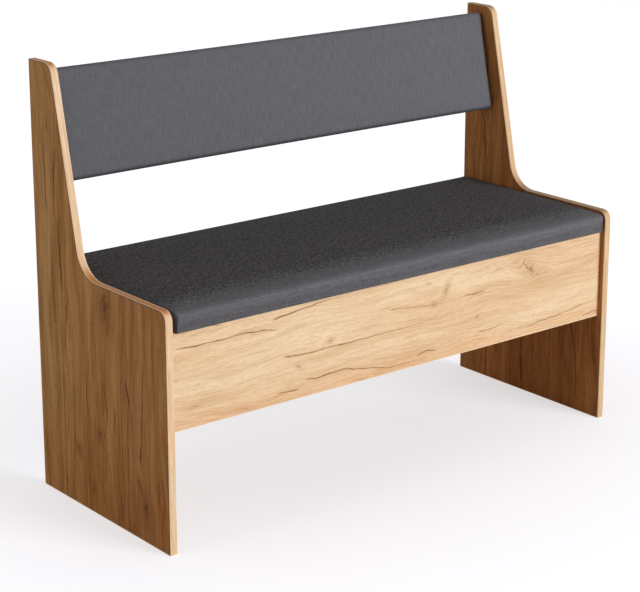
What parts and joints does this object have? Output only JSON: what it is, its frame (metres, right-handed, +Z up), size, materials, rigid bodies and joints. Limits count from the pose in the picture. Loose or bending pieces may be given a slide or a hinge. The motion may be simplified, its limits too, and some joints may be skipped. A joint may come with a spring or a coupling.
{
  "type": "storage bench",
  "caption": "Straight bench on two side panels, with a storage box under a padded seat that lifts as its lid, and a leaning padded backrest.",
  "frame": {"origin": "on the floor, under the middle of the outer box", "axes": "+X along the bench to the sitter's left, seen from the front to the right; +Y from front to back; +Z up"},
  "size_m": [1.145, 0.443, 0.86],
  "materials": {
    "oak_board": "melamine-faced board with a craft oak decor, satin",
    "oak_edge_band": "light oak edge band, satin",
    "raw_chipboard": "raw chipboard",
    "seat_cloth": "anthracite upholstery cloth over foam",
    "backrest_cloth": "grey linen-weave upholstery cloth over foam",
    "hinge_steel": "zinc plated steel",
    "bolt_steel": "zinc plated steel",
    "cam_die_cast": "zinc die casting"
  },
  "bodies": {
    "bench_frame": {"apron_bolt_left_lower": "bolt_steel", "apron_bolt_left_upper": "bolt_steel", "apron_bolt_right_lower": "bolt_steel", "apron_bolt_right_upper": "bolt_steel", "apron_cam_left_lower": "cam_die_cast", "apron_cam_left_upper": "cam_die_cast", "apron_cam_right_lower": "cam_die_cast", "apron_cam_right_upper": "cam_die_cast", "backrest_board": "oak_board", "backrest_bolt_left_lower": "bolt_steel", "backrest_bolt_left_upper": "bolt_steel", "backrest_bolt_right_lower": "bolt_steel", "backrest_bolt_right_upper": "bolt_steel", "backrest_cam_left_lower": "cam_die_cast", "backrest_cam_left_upper": "cam_die_cast", "backrest_cam_right_lower": "cam_die_cast", "backrest_cam_right_upper": "cam_die_cast", "backrest_pad": "backrest_cloth", "box_floor": "oak_board", "floor_bolt_left_front": "bolt_steel", "floor_bolt_left_rear": "bolt_steel", "floor_bolt_right_front": "bolt_steel", "floor_bolt_right_rear": "bolt_steel", "floor_cam_left_front": "cam_die_cast", "floor_cam_left_rear": "cam_die_cast", "floor_cam_right_front": "cam_die_cast", "floor_cam_right_rear": "cam_die_cast", "front_apron": "oak_board", "left_edge_band": "oak_edge_band", "left_hinge_fixed_leaf": "hinge_steel", "left_hinge_pin": "hinge_steel", "left_hinge_rail_screw_1": "hinge_steel", "left_hinge_rail_screw_2": "hinge_steel", "left_side_panel": "oak_board", "rail_bolt_left_lower": "bolt_steel", "rail_bolt_left_upper": "bolt_steel", "rail_bolt_right_lower": "bolt_steel", "rail_bolt_right_upper": "bolt_steel", "rail_cam_left_lower": "cam_die_cast", "rail_cam_left_upper": "cam_die_cast", "rail_cam_right_lower": "cam_die_cast", "rail_cam_right_upper": "cam_die_cast", "rear_rail": "oak_board", "right_edge_band": "oak_edge_band", "right_hinge_fixed_leaf": "hinge_steel", "right_hinge_pin": "hinge_steel", "right_hinge_rail_screw_1": "hinge_steel", "right_hinge_rail_screw_2": "hinge_steel", "right_side_panel": "oak_board"},
    "seat_lid": {"left_hinge_moving_leaf": "hinge_steel", "left_hinge_seat_screw_1": "hinge_steel", "left_hinge_seat_screw_2": "hinge_steel", "right_hinge_moving_leaf": "hinge_steel", "right_hinge_seat_screw_1": "hinge_steel", "right_hinge_seat_screw_2": "hinge_steel", "seat_board": "raw_chipboard", "seat_cushion": "seat_cloth"}
  },
  "joints": [
    {"name": "seat_lift", "type": "hinge", "parent": "bench_frame", "child": "seat_lid", "pos_m": [0, 0.21247, 0.4193], "axis": [-1, 0, 0], "range_deg": [0, 52]}
  ]
}
